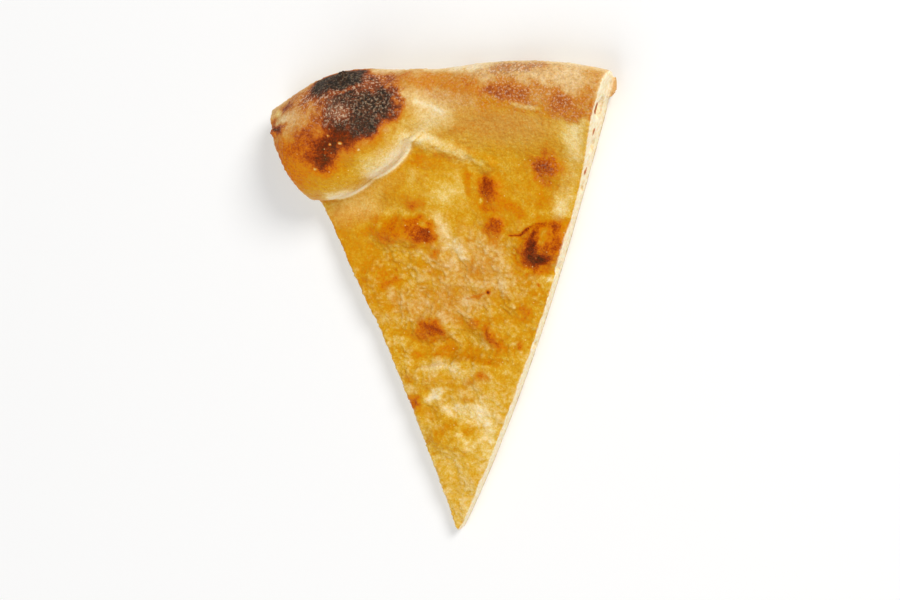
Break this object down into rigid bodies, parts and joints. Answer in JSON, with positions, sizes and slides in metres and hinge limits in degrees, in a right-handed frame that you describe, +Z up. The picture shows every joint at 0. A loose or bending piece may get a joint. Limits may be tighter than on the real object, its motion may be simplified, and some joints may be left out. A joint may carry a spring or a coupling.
{
  "type": "focaccia slice",
  "caption": "Wedge of thin baked focaccia with a pointed end, a puffed rim and a browned blister at the rim's left end.",
  "frame": {"origin": "on the flat underside, at the middle of the slice's bounding box", "axes": "+Z up out of the baked top, +Y from the point towards the rim, +X towards the rim's right end, away from the blister"},
  "size_m": [0.1112, 0.1478, 0.0251],
  "materials": {
    "baked_dough": "golden baked dough, slightly oily on top, pale crumb on the cut sides"
  },
  "bodies": {
    "root": {"focaccia_slice": "baked_dough"}
  },
  "joints": []
}
